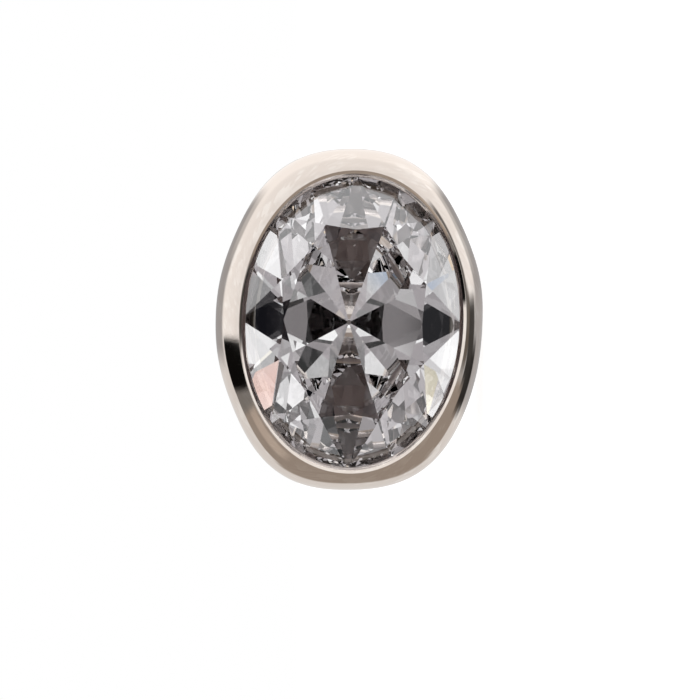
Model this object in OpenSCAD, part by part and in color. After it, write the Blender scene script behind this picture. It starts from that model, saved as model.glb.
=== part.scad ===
// Oval bezel-set piercing top on a threaded post, lying on its long side wall.
// Every piece is drawn face up, with +X to the wearer's right, +Y to the top of the
// face and +Z out of the face. at_rest() then lays the whole top on its side.

/* [Head] */
// Width of the plain oval that the wall follows
head_w = 3.6; // [3.5:0.05:3.8]
// Length of the plain oval that the wall follows, a little over the finished length
head_l = 4.67; // [4.6:0.01:4.8]
// Height from the flat underside to the crest of the rim
head_h = 2.55; // [2.5:0.05:2.8]
// Squareness of the outline, where 2 is a true ellipse
head_power = 2.12; // [2:0.01:2.2]
// Turn of the outline's long axis from the top of the face
head_turn = -1; // [-2:0.1:0]
// Radius of the worn edge round the underside
foot_round = 0.05; // [0.03:0.01:0.08]

/* [Rim] */
// Height of the rounded shoulder between the wall and the crest
shoulder_h = 0.42; // [0.3:0.01:0.5]
// Place of the crest across the rim, from the wall to the crease
crest_share = 0.7; // [0.6:0.05:0.8]
// Drop from the crest to the crease
crease_drop = 0.02; // [0.01:0.005:0.03]
// Width of the bright-cut lip between the crease and the stone
lip_w = 0.085; // [0.07:0.005:0.1]
// Drop of the lip from the crease to its edge
lip_drop = 0.13; // [0.11:0.01:0.15]

/* [Opening] */
// Width of the opening over the stone
opening_w = 2.88; // [2.84:0.01:2.9]
// Length of the opening over the stone
opening_l = 3.9; // [3.86:0.01:3.92]
// Squareness of the opening
opening_power = 2.06; // [2:0.01:2.1]
// Turn of the opening from the top of the face
opening_turn = -2.7; // [-3.5:0.1:0]
// Shift of the opening and the stone across the face
opening_x = 0.033; // [0:0.001:0.05]
// Shift of the opening and the stone along the face
opening_y = -0.02; // [-0.03:0.001:0]

/* [Stone] */
// Width of the stone over its girdle
stone_w = 3; // [2.98:0.01:3.02]
// Length of the stone over its girdle
stone_l = 4; // [3.98:0.01:4.02]
// Turn of the stone from the top of the face
stone_turn = -1.7; // [-3:0.1:0]
// Width of the table as a share of the stone
table_share = 0.62; // [0.58:0.01:0.63]
// Reach of the star facets' outer corners as a share of the stone
star_share = 0.7; // [0.69:0.01:0.76]
// Height of the crown from the girdle to the table
crown_h = 0.32; // [0.28:0.01:0.34]
// Height of the girdle where it is thickest
girdle_h = 0.1; // [0.09:0.01:0.12]
// Depth of the pavilion below the girdle
pavilion_h = 1.34; // [1.28:0.01:1.4]
// Reach of the lower girdle facets' inner corners as a share of the stone
lower_share = 0.43; // [0.35:0.01:0.5]
// Shift of the pavilion's tip across the stone, as hand cutting leaves it
culet_x = -0.04; // [-0.06:0.01:0.06]
// Width of the small flat at the tip of the pavilion
culet_w = 0.05; // [0.03:0.01:0.08]

/* [Post] */
// Diameter over the thread's crests
thread_d = 0.9; // [0.85:0.05:0.95]
// Diameter at the thread's root
root_d = 0.62; // [0.6:0.01:0.66]
// Distance between neighbouring crests
pitch = 0.225; // [0.2:0.005:0.25]
// Diameter of the plain neck under the head
neck_d = 0.78; // [0.74:0.01:0.82]
// Length of the plain neck
neck_l = 0.22; // [0.2:0.01:0.3]
// Length of the post from the underside to the tip
post_l = 1.75; // [1.7:0.01:1.9]
// Half angle of the tip's cone
tip_angle = 39; // [35:1:45]
// Diameter of the blunt nub that ends the tip
nub_d = 0.2; // [0.16:0.01:0.24]
// Diameter of the shank that is pressed into the head, at its thick end
shank_d = 0.7; // [0.66:0.01:0.72]
// Taper of the shank towards its inner end, and of the thread's root towards the tip
taper = 0.02; // [0.01:0.01:0.04]
// Depth of the shank in the head
shank_l = 0.44; // [0.4:0.01:0.5]

/* [Hidden] */
$fn = 48;
// Gap that keeps neighbouring pieces apart
fit_gap = 0.012;
// Soft corners that hand polishing leaves on the wall, a row for each wave round it
WAVE_LOBES = 0;
WAVE_HEIGHT = 1;
WAVE_PEAK = 2;
WAVES = [
    // lobes, height in mm, angle of a peak
    [3, 0.011, -39],
    [5, 0.009, 22],
    [6, 0.017, 2],
    [8, 0.009, 22],
];
// Corners of every ring round the cup
SIDES = 72;
SHOULDER_STEPS = 8;
LIP_STEPS = 4;
// Thickness of the lip's edge over the stone
lip_edge = 0.012;
// Rise of the stone's crown from the girdle to the lip's edge, with its gap
lip_clear = 0.075;
crease_z = head_h - crease_drop;
lip_z = crease_z - lip_drop;
girdle_z = lip_z - lip_edge - lip_clear;
seat_z = girdle_z - girdle_h - fit_gap;
// The ledge under the girdle, and the hollow that clears the stone's tip
seat_w = 0.21;
seat_drop = 0.22;
floor_inset = 0.42;
culet_clear = 0.15;
culet_z = girdle_z - girdle_h - pavilion_h;
floor_z = culet_z - culet_clear;
// Facets of the stone: eight mains, with two girdle facets between each pair
MAINS = 8;
STEP = 360 / MAINS;
// Thread form: sixty degrees between the flanks and a narrow flat on the crest
flank_angle = 30;
crest_flat = pitch / 9;
thread_sink = 0.02;
THREAD_SIDES = 24;
RUNOUT_SIDES = 10;
tip_h = (root_d - nub_d) / 2 / tan(tip_angle);
nub_h = 0.035;
nub_end_d = 0.11;
core_end = post_l - nub_h - tip_h;
thread_from = neck_l + pitch / 4;
thread_to = core_end - 0.4 * pitch;

function mix(a, b, share) = a + (b - a) * share;

function oval_radius(w, l, power, angle) =
    pow(pow(abs(cos(angle)) * 2 / w, power) + pow(abs(sin(angle)) * 2 / l, power), -1 / power);

function wave_height(angle, row) =
    WAVES[row][WAVE_HEIGHT] * cos(WAVES[row][WAVE_LOBES] * (angle - WAVES[row][WAVE_PEAK]));

function polishing(angle, row = 0) =
    row < len(WAVES) ? wave_height(angle, row) + polishing(angle, row + 1) : 0;

function wall_point(angle, inset = 0) =
    let (r = oval_radius(head_w, head_l, head_power, angle - head_turn) + polishing(angle) - inset)
    [r * cos(angle), r * sin(angle)];

function opening_point(angle, grow = 0) =
    let (r = oval_radius(opening_w, opening_l, opening_power, angle - opening_turn) + grow)
    [opening_x + r * cos(angle), opening_y + r * sin(angle)];

function stone_point(angle, grow = 0) =
    let (r = oval_radius(stone_w, stone_l, 2, angle - stone_turn) + grow)
    [opening_x + r * cos(angle), opening_y + r * sin(angle)];

function lifted(point, z) = [point[0], point[1], z];

// Rings of the cup, from the underside over the rim and down into the hollow
angles = [for (i = [0:SIDES - 1]) i * 360 / SIDES];

function wall_ring(inset, z) = [for (a = angles) lifted(wall_point(a, inset), z)];

function rim_ring(share, z) =
    [for (a = angles) lifted(mix(wall_point(a), opening_point(a, lip_w), share), z)];

function lip_ring(share, z) = [for (a = angles) lifted(opening_point(a, lip_w * (1 - share)), z)];

function seat_ring(grow, z) = [for (a = angles) lifted(stone_point(a, grow), z)];

cup_rings = concat(
    [for (t = [0:45:90]) wall_ring(foot_round * (1 - sin(t)), foot_round * (1 - cos(t)))],
    [for (i = [0:SHOULDER_STEPS])
        let (t = 90 * i / SHOULDER_STEPS)
        rim_ring(crest_share * (1 - cos(t)), head_h - shoulder_h * (1 - sin(t)))],
    [for (u = [0.5, 1]) rim_ring(mix(crest_share, 1, u), head_h - crease_drop * u * u)],
    [for (i = [1:LIP_STEPS])
        let (u = i / LIP_STEPS)
        lip_ring(u, crease_z - lip_drop * (u + u * u) / 2)],
    [lip_ring(1, lip_z - lip_edge)],
    [seat_ring(fit_gap, girdle_z + fit_gap)],
    [seat_ring(fit_gap, seat_z)],
    [seat_ring(-seat_w, seat_z - seat_drop)],
    [seat_ring(-floor_inset, floor_z)]
);

// Corners of a stone's ring in the order of the mains, turned by a share of a step
function facet_point(share, turn, z, i) =
    [share * stone_w / 2 * cos((i + turn) * STEP), share * stone_l / 2 * sin((i + turn) * STEP), z];

function facet_ring(share, turn, z) = [for (i = [0:MAINS - 1]) facet_point(share, turn, z, i)];

// Height of the plane through a, b and c at the place p
function plane_z(a, b, c, p) =
    let (n = cross(b - a, c - a))
    a[2] - (n[0] * (p[0] - a[0]) + n[1] * (p[1] - a[1])) / n[2];

// Quarter points of the girdle, where the girdle facets cut it lowest or highest
function scallop(inner, main, between, turn) = [
    for (i = [0:MAINS - 1])
        let (p = facet_point(1, turn, 0, i))
        let (j = turn < 0.5 ? i : (i + 1) % MAINS)
        [p[0], p[1], plane_z(inner[i], main[j], between[i], p)]
];

// The mains are flat, so the corners between them lie where two neighbours meet
half_cos = cos(STEP / 2);
star_z = crown_h * (1 - star_share * half_cos) / (1 - table_share);
tip = [culet_x, 0, -girdle_h - pavilion_h];
table_ring = facet_ring(table_share, 0, crown_h);
star_ring = facet_ring(star_share, 0.5, star_z);
top_main = facet_ring(1, 0, 0);
top_between = facet_ring(1, 0.5, 0);
top_first = scallop(star_ring, top_main, top_between, 0.25);
top_second = scallop(star_ring, top_main, top_between, 0.75);
lower_ring = [for (p = facet_ring(1 / half_cos, 0.5, -girdle_h)) mix(tip, p, lower_share * half_cos)];
low_main = facet_ring(1, 0, -girdle_h);
low_between = facet_ring(1, 0.5, -girdle_h);
low_first = scallop(lower_ring, low_main, low_between, 0.25);
low_second = scallop(lower_ring, low_main, low_between, 0.75);
stone_points = concat(
    table_ring, star_ring, top_main, top_first, top_between, top_second,
    low_main, low_first, low_between, low_second, lower_ring, [tip]
);

// First index of each ring in stone_points
TABLE = 0;
STAR = 1 * MAINS;
TOP = 2 * MAINS;
LOW = 6 * MAINS;
LOWER = 10 * MAINS;
CULET = 11 * MAINS;

// Index of the girdle corner that is quarter q of the way on from main i
function girdle_index(first, i, q) = first + q % 4 * MAINS + (i + floor(q / 4)) % MAINS;

stone_faces = concat(
    [[for (i = [MAINS - 1:-1:0]) TABLE + i]],
    [for (i = [0:MAINS - 1])
        let (next = (i + 1) % MAINS)
        each [
            [TABLE + i, TABLE + next, STAR + i],
            [TABLE + next, STAR + next, girdle_index(TOP, next, 0), STAR + i],
            [STAR + i, girdle_index(TOP, i, 2), girdle_index(TOP, i, 1), girdle_index(TOP, i, 0)],
            [STAR + i, girdle_index(TOP, i, 4), girdle_index(TOP, i, 3), girdle_index(TOP, i, 2)],
            [LOWER + i, girdle_index(LOW, i, 0), girdle_index(LOW, i, 1), girdle_index(LOW, i, 2)],
            [LOWER + i, girdle_index(LOW, i, 2), girdle_index(LOW, i, 3), girdle_index(LOW, i, 4)],
            [CULET, LOWER + i, girdle_index(LOW, next, 0), LOWER + next],
        ]],
    [for (i = [0:MAINS - 1], q = [0:3])
        [girdle_index(TOP, i, q), girdle_index(TOP, i, q + 1),
         girdle_index(LOW, i, q + 1), girdle_index(LOW, i, q)]]
);

// Corners of the thread's section at a place along its helix, tapered into the core at both ends
thread_turns = (thread_to - thread_from) / pitch;
thread_stations = round(thread_turns * THREAD_SIDES);
root_half = crest_flat / 2 + (thread_d - root_d) / 2 * tan(flank_angle);

function thread_section(i) =
    let (a = i * 360 / THREAD_SIDES)
    let (z = -thread_from - i * pitch / THREAD_SIDES)
    let (run = min(1, i / RUNOUT_SIDES, (thread_stations - i) / RUNOUT_SIDES))
    let (inner = root_d / 2 - thread_sink)
    let (outer = mix(root_d / 2 - thread_sink / 2, thread_d / 2, run))
    let (base_half = root_half + thread_sink * tan(flank_angle) / 2)
    let (crest_half = mix(base_half - thread_sink / 4, crest_flat / 2, run))
    [
        [inner * cos(a), -inner * sin(a), z - base_half],
        [outer * cos(a), -outer * sin(a), z - crest_half],
        [outer * cos(a), -outer * sin(a), z + crest_half],
        [inner * cos(a), -inner * sin(a), z + base_half],
    ];

// Closed solid through rings of equal length, with flat ends
module lofted(rings) {
    n = len(rings[0]);
    last = len(rings) - 1;
    polyhedron(
        points = [for (ring = rings) each ring],
        faces = concat(
            [[for (i = [0:n - 1]) i]],
            [for (k = [0:last - 1], i = [0:n - 1])
                [k * n + i, (k + 1) * n + i, (k + 1) * n + (i + 1) % n, k * n + (i + 1) % n]],
            [[for (i = [n - 1:-1:0]) last * n + i]]
        ),
        convexity = 6
    );
}

// Lays a piece that is drawn face up on its right-hand side wall, the face towards -Y
wall_extent = [for (a = angles) wall_point(a)];
lowest = max([for (p = wall_extent) p[0]]);
middle = (max([for (p = wall_extent) p[1]]) + min([for (p = wall_extent) p[1]])) / 2;
table_z = girdle_z + crown_h;
module at_rest() {
    translate([-middle, (max(table_z, head_h) - post_l) / 2, lowest]) rotate([90, 90, 0]) children();
}

// Polished cup whose lip is rubbed over the stone, with a blind hole for the post
module bezel_cup() {
    color("#e2d5ca") at_rest() difference() {
        lofted(cup_rings);
        translate([0, 0, -1]) cylinder(d = shank_d + 2 * fit_gap, h = 1 + shank_l + fit_gap);
    }
}

// Clear oval brilliant with a table, stars, kites, girdle facets and a pointed pavilion
module oval_stone() {
    culet_cut = pavilion_h * culet_w / stone_w;
    color("#dde3ea") at_rest()
    translate([opening_x, opening_y, girdle_z]) rotate([0, 0, stone_turn]) difference() {
        polyhedron(points = stone_points, faces = stone_faces, convexity = 2);
        translate([-0.5, -0.5, tip[2] - 1 + culet_cut]) cube(1);
    }
}

// Post with a pressed shank, a plain neck, a right-hand thread and a blunt cone
module threaded_post() {
    color("#857a72") at_rest() union() {
        translate([0, 0, -neck_l]) cylinder(d1 = shank_d, d2 = shank_d - taper, h = neck_l + shank_l);
        translate([0, 0, -neck_l]) cylinder(d = neck_d, h = neck_l - fit_gap);
        translate([0, 0, -core_end]) cylinder(d1 = root_d, d2 = root_d + taper, h = core_end - neck_l / 2);
        translate([0, 0, -core_end - tip_h]) cylinder(d1 = nub_d, d2 = root_d, h = tip_h);
        translate([0, 0, -post_l]) cylinder(d1 = nub_end_d, d2 = nub_d, h = nub_h);
        lofted([for (i = [0:thread_stations]) thread_section(i)]);
    }
}

bezel_cup();
oval_stone();
threaded_post();
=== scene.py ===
"""Studio scene of an oval bezel-set piercing top that lies on its long side wall.

Every piece is drawn face up in millimetres, with +X to the right of the face, +Y to its top
and +Z out of it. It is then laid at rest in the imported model's frame, in metres, where the
face looks along -Y, the top of the face is +X and the right of the face is the floor's side.
"""

import sys

import logging
import math
from collections.abc import Iterable, Sequence
from dataclasses import dataclass, field
from enum import Enum

import bmesh
import bpy
from mathutils import Matrix, Vector


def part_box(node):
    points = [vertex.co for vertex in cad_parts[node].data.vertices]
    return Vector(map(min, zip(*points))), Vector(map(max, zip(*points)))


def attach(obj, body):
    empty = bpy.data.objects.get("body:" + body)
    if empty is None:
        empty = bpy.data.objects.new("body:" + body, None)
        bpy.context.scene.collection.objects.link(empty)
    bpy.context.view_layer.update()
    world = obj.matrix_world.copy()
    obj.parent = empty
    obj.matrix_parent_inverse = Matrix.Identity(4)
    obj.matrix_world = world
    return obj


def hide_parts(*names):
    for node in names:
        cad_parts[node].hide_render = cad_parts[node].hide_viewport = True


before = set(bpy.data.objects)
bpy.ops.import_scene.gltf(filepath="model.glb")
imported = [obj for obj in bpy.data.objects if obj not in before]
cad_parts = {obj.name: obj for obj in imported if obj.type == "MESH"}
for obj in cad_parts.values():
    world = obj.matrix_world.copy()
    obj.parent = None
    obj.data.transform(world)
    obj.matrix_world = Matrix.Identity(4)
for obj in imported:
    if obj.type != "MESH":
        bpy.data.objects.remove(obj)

LOG = logging.getLogger("piercing_top")
BODY = "root"
MM = 0.001
FULL_TURN = 2 * math.pi
Colour = tuple[float, float, float]
Socket = bpy.types.NodeSocket


class Slot(Enum):
    """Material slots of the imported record."""

    POLISHED = "polished_metal"
    STONE = "clear_stone"
    MACHINED = "machined_metal"


class Shading(Enum):
    """Ways in which a finished piece is shaded."""

    FACETS = "flat"
    ROUNDED = "smooth up to an angle"


# Outlines


@dataclass(frozen=True)
class Wave:
    """Soft corners that hand polishing leaves round an outline.

    Attributes:
        lobes: Number of corners in a full turn.
        height: Height of the corners in millimetres.
        peak: Angle of one corner in degrees.
    """

    lobes: int
    height: float
    peak: float

    def at(self, angle: float) -> float:
        """Returns the wave's height at an angle in radians."""
        return self.height * math.cos(self.lobes * (angle - math.radians(self.peak)))


@dataclass(frozen=True)
class Oval:
    """Oval outline on the face, with ends that may be a little squarer than an ellipse's.

    Attributes:
        width: Width over the short axis in millimetres.
        length: Length over the long axis in millimetres.
        power: Squareness, where 2 is a true ellipse.
        turn: Turn of the long axis from the top of the face in degrees.
        centre: Place of the centre on the face in millimetres.
        waves: Soft corners on top of the plain outline.
    """

    width: float
    length: float
    power: float = 2.0
    turn: float = 0.0
    centre: tuple[float, float] = (0.0, 0.0)
    waves: tuple[Wave, ...] = ()

    def radius(self, angle: float) -> float:
        """Works out how far the outline is from its centre.

        Args:
            angle: Direction from the centre in radians.

        Returns:
            The distance in millimetres.
        """
        turned = angle - math.radians(self.turn)
        across = abs(math.cos(turned) * 2 / self.width) ** self.power
        along = abs(math.sin(turned) * 2 / self.length) ** self.power
        return (across + along) ** (-1 / self.power) + sum(w.at(angle) for w in self.waves)

    def ring(self, columns: int, grow: float, height: float) -> list[Vector]:
        """Places points round the outline.

        Args:
            columns: Number of points.
            grow: Distance outside the outline in millimetres.
            height: Height of the points in millimetres.

        Returns:
            The points, one for each column.
        """
        points = []
        for column in range(columns):
            angle = column * FULL_TURN / columns
            reach = self.radius(angle) + grow
            x = self.centre[0] + reach * math.cos(angle)
            y = self.centre[1] + reach * math.sin(angle)
            points.append(Vector((x, y, height)))
        return points


def circle_ring(columns: int, radius: float, height: float) -> list[Vector]:
    """Places points round a circle about the post's axis.

    Args:
        columns: Number of points.
        radius: Radius in millimetres.
        height: Height of the points in millimetres.

    Returns:
        The points, one for each column.
    """
    return Oval(2 * radius, 2 * radius).ring(columns, 0, height)


def blend_rings(outer: Sequence[Vector], inner: Sequence[Vector], share: float) -> list[Vector]:
    """Places a ring between two others.

    Args:
        outer: Points of the ring at share 0.
        inner: Points of the ring at share 1.
        share: Place between the two.

    Returns:
        The points, one for each column.
    """
    return [a.lerp(b, share) for a, b in zip(outer, inner)]


def at_height(ring: Iterable[Vector], height: float) -> list[Vector]:
    """Returns a ring's points moved to a height in millimetres."""
    return [Vector((p.x, p.y, height)) for p in ring]


# Modelling steps


class Workbench:
    """Modelling steps that the pieces share, each made of Blender's own operators."""

    COLUMN = "column"

    @staticmethod
    def clear_selection() -> None:
        """Deselects everything, because an operator acts on all that is selected."""
        bpy.ops.object.select_all(action="DESELECT")

    @classmethod
    def take(cls, piece: bpy.types.Object) -> None:
        """Makes a piece the only one that operators act on.

        Args:
            piece: Piece to select.
        """
        cls.clear_selection()
        piece.select_set(True)
        bpy.context.view_layer.objects.active = piece

    @classmethod
    def start(cls, name: str, ring: Sequence[Vector]) -> bpy.types.Object:
        """Adds a circle and shapes it into the first ring of a piece.

        Args:
            name: Name of the piece.
            ring: Points of the first ring.

        Returns:
            The new piece, with the ring selected in edit mode.
        """
        cls.clear_selection()
        reach = max(p.to_2d().length for p in ring)
        bpy.ops.mesh.primitive_circle_add(
            vertices=len(ring), radius=reach, fill_type="NOTHING", location=(0, 0, ring[0].z)
        )
        piece = bpy.context.object
        piece.name = piece.data.name = name
        bpy.ops.object.transform_apply(location=True)
        bpy.ops.object.mode_set(mode="EDIT")
        bpy.ops.mesh.select_all(action="SELECT")
        mesh = bmesh.from_edit_mesh(piece.data)
        mesh.verts.ensure_lookup_table()
        layer = mesh.verts.layers.int.new(cls.COLUMN)
        for column, vertex in enumerate(mesh.verts):
            vertex[layer] = column
        cls.place(piece, ring)
        return piece

    @classmethod
    def place(cls, piece: bpy.types.Object, ring: Sequence[Vector]) -> None:
        """Moves the selected loop's points onto a ring.

        Args:
            piece: Piece in edit mode.
            ring: Points of the ring, one for each column.
        """
        mesh = bmesh.from_edit_mesh(piece.data)
        layer = mesh.verts.layers.int[cls.COLUMN]
        for vertex in mesh.verts:
            if vertex.select:
                vertex.co = ring[vertex[layer]]
        bmesh.update_edit_mesh(piece.data)

    @classmethod
    def extrude(cls, piece: bpy.types.Object, rings: Iterable[Sequence[Vector]]) -> None:
        """Extrudes the selected loop from ring to ring.

        Args:
            piece: Piece in edit mode, with its last loop selected.
            rings: Rings in the order in which the surface runs through them.
        """
        for ring in rings:
            bpy.ops.mesh.extrude_edges_move()
            cls.place(piece, ring)

    @classmethod
    def close(cls, piece: bpy.types.Object) -> None:
        """Fills both open ends of a piece and turns its faces outwards.

        Args:
            piece: Piece in edit mode, which is left in object mode.
        """
        bpy.ops.mesh.select_all(action="SELECT")
        bpy.ops.mesh.fill_holes(sides=0)
        bpy.ops.mesh.select_all(action="SELECT")
        bpy.ops.mesh.normals_make_consistent(inside=False)
        bpy.ops.object.mode_set(mode="OBJECT")
        piece.data.attributes.remove(piece.data.attributes[cls.COLUMN])

    @classmethod
    def loft(cls, name: str, rings: Sequence[Sequence[Vector]]) -> bpy.types.Object:
        """Models a closed piece through rings of equal length.

        Args:
            name: Name of the piece.
            rings: Rings from one end of the surface to the other.

        Returns:
            The piece, in object mode.
        """
        piece = cls.start(name, rings[0])
        cls.extrude(piece, rings[1:])
        cls.close(piece)
        return piece

    @staticmethod
    def cut(point: Vector, normal: Vector) -> None:
        """Cuts the piece in edit mode by a plane and closes the cut.

        Args:
            point: Point on the plane.
            normal: Direction of the side that is cut away.
        """
        bpy.ops.mesh.select_all(action="SELECT")
        bpy.ops.mesh.bisect(
            plane_co=point, plane_no=normal, use_fill=True, clear_outer=True, threshold=1e-5
        )

    @classmethod
    def modify(cls, piece: bpy.types.Object, kind: str, **settings: object) -> None:
        """Adds a modifier and applies it.

        Args:
            piece: Piece to change.
            kind: Blender's type of modifier.
            **settings: Values of the modifier's own properties.
        """
        cls.take(piece)
        modifier = piece.modifiers.new(kind.lower(), kind)
        for key, value in settings.items():
            setattr(modifier, key, value)
        bpy.ops.object.modifier_apply(modifier=modifier.name)

    @classmethod
    def finish(cls, piece: bpy.types.Object, shading: Shading, angle: float = 30.0) -> None:
        """Lays a piece at rest and shades it.

        Args:
            piece: Piece that is drawn face up in millimetres.
            shading: Way in which it is shaded.
            angle: Sharpest edge in degrees that is still shaded smooth.
        """
        cls.take(piece)
        piece.matrix_world = rest_matrix()
        bpy.ops.object.transform_apply(location=True, rotation=True, scale=True)
        if shading is Shading.ROUNDED:
            bpy.ops.object.shade_smooth_by_angle(angle=math.radians(angle))
        else:
            bpy.ops.object.shade_flat()


def rest_matrix() -> Matrix:
    """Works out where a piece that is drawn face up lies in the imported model.

    Returns:
        The turn, place and scale from millimetres face up to metres at rest.
    """
    post_low, post_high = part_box("threaded_post")
    axis = (post_low + post_high) / 2
    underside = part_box("bezel_cup")[1].y
    turn = Matrix(((0, 1, 0), (0, 0, -1), (-1, 0, 0))).to_4x4()
    return Matrix.Translation((axis.x, underside, axis.z)) @ turn @ Matrix.Scale(MM, 4)


# Nodes


class NodeBench:
    """Short way of adding and joining nodes in a material, world or group."""

    def __init__(self, tree: bpy.types.NodeTree) -> None:
        """Starts on an empty node tree.

        Args:
            tree: Tree whose nodes are replaced.
        """
        self.tree = tree
        tree.nodes.clear()

    def add(self, kind: str, **settings: object) -> bpy.types.Node:
        """Adds a node.

        Args:
            kind: Blender's name of the node, without ShaderNode.
            **settings: Values of the node's own properties.

        Returns:
            The node.
        """
        node = self.tree.nodes.new("ShaderNode" + kind)
        for key, value in settings.items():
            setattr(node, key, value)
        return node

    def feed(self, socket: Socket, value: object) -> None:
        """Links an output to an input socket, or sets the input's own value.

        Args:
            socket: Input socket.
            value: Output socket, number, or colour without its alpha.
        """
        if isinstance(value, bpy.types.NodeSocket):
            self.tree.links.new(value, socket)
        elif socket.type == "RGBA" and len(value) == 3:
            socket.default_value = (*value, 1)
        else:
            socket.default_value = value

    def maths(self, operation: str, *values: object) -> Socket:
        """Adds a Math node.

        Args:
            operation: Blender's name of the operation.
            *values: Numbers or sockets that it works on.

        Returns:
            The result.
        """
        node = self.add("Math", operation=operation)
        for socket, value in zip(node.inputs, values):
            self.feed(socket, value)
        return node.outputs[0]

    def span(self, value: Socket, start: object, end: object) -> Socket:
        """Maps a value from start..end smoothly onto 0..1, and holds it beyond the ends.

        Args:
            value: Value that is mapped.
            start: Value that gives 0.
            end: Value that gives 1.

        Returns:
            The result.
        """
        node = self.add("MapRange", interpolation_type="SMOOTHSTEP")
        for socket, number in zip(node.inputs, (value, start, end)):
            self.feed(socket, number)
        return node.outputs[0]

    def noise(self, vector: Socket, scale: object, detail: float, rough: float = 0.5) -> Socket:
        """Adds a noise texture.

        Args:
            vector: Place that it is read at.
            scale: Number of features in a unit of length.
            detail: Number of finer layers.
            rough: Strength of the finer layers.

        Returns:
            The noise, about 0.5 on average.
        """
        node = self.add("TexNoise")
        for name, value in {"Vector": vector, "Scale": scale, "Detail": detail}.items():
            self.feed(node.inputs[name], value)
        node.inputs["Roughness"].default_value = rough
        return node.outputs[0]

    def mix(self, share: object, first: object, second: object) -> Socket:
        """Mixes two colours.

        Args:
            share: Share of the second colour.
            first: Colour or socket at share 0.
            second: Colour or socket at share 1.

        Returns:
            The mixed colour.
        """
        node = self.add("Mix", data_type="RGBA")
        for index, value in zip((0, 6, 7), (share, first, second)):
            self.feed(node.inputs[index], value)
        return node.outputs[2]

    def squares(self, first: Socket, second: Socket) -> Socket:
        """Returns the sum of two numbers' squares."""
        return self.maths("ADD", *(self.maths("MULTIPLY", part, part) for part in (first, second)))

    def millimetres(self, centre: Vector, stretch: Colour = (1.0, 1.0, 1.0)) -> Socket:
        """Reads the place on the piece in millimetres.

        Args:
            centre: Place in metres that becomes the origin.
            stretch: Factor on each axis, so that a pattern can be drawn out.

        Returns:
            The place.
        """
        mapping = self.add("Mapping")
        scale = Vector(stretch) / MM
        mapping.inputs["Scale"].default_value = scale
        mapping.inputs["Location"].default_value = -centre * scale
        self.feed(mapping.inputs["Vector"], self.add("TexCoord").outputs["Object"])
        return mapping.outputs[0]

    def group(self, tree: bpy.types.NodeTree, **values: object) -> bpy.types.Node:
        """Places a node group.

        Args:
            tree: Group to place.
            **values: Values or sockets for its inputs, with _ in place of spaces.

        Returns:
            The group's node.
        """
        node = self.add("Group", node_tree=tree)
        for name, value in values.items():
            self.feed(node.inputs[name.replace("_", " ").capitalize()], value)
        return node

    def surface(self, shader: bpy.types.Node) -> None:
        """Joins a shader to the material's output."""
        self.feed(self.add("OutputMaterial").inputs["Surface"], shader.outputs["BSDF"])

    def metal(self, colour: Socket, roughness: Socket, lines: Socket, depth: float) -> None:
        """Adds a metal's shader, with fine lines in its surface.

        Args:
            colour: Colour of the metal.
            roughness: Roughness of the metal.
            lines: Height of the lines, between 0 and 1.
            depth: Depth of the lines in millimetres.
        """
        shader = self.add("BsdfPrincipled")
        shader.inputs["Metallic"].default_value = 1.0
        self.feed(shader.inputs["Base Color"], colour)
        self.feed(shader.inputs["Roughness"], roughness)
        bump = self.add("Bump")
        bump.inputs["Distance"].default_value = depth * MM
        self.feed(bump.inputs["Height"], lines)
        self.feed(shader.inputs["Normal"], bump.outputs["Normal"])
        self.surface(shader)


def new_material(name: str) -> tuple[bpy.types.Material, NodeBench]:
    """Starts a material.

    Args:
        name: Name of the material.

    Returns:
        The material, and the bench for its nodes.
    """
    material = bpy.data.materials.new(name)
    material.use_nodes = True
    return material, NodeBench(material.node_tree)


def new_group(
    name: str, numbers: dict[str, float], outputs: Sequence[str]
) -> tuple[NodeBench, bpy.types.Node, bpy.types.Node]:
    """Starts a node group with named sockets.

    Args:
        name: Name of the group.
        numbers: Default values of its inputs besides Vector, by their names.
        outputs: Names of the outputs, which are numbers.

    Returns:
        The bench for the group's nodes, and its input and output nodes.
    """
    tree = bpy.data.node_groups.new(name, "ShaderNodeTree")
    tree.interface.new_socket("Vector", in_out="INPUT", socket_type="NodeSocketVector")
    for label, number in numbers.items():
        socket = tree.interface.new_socket(label, in_out="INPUT", socket_type="NodeSocketFloat")
        socket.default_value = number
    for label in outputs:
        tree.interface.new_socket(label, in_out="OUTPUT", socket_type="NodeSocketFloat")
    bench = NodeBench(tree)
    entry = tree.nodes.new("NodeGroupInput")
    result = tree.nodes.new("NodeGroupOutput")
    return bench, entry, result


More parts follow.
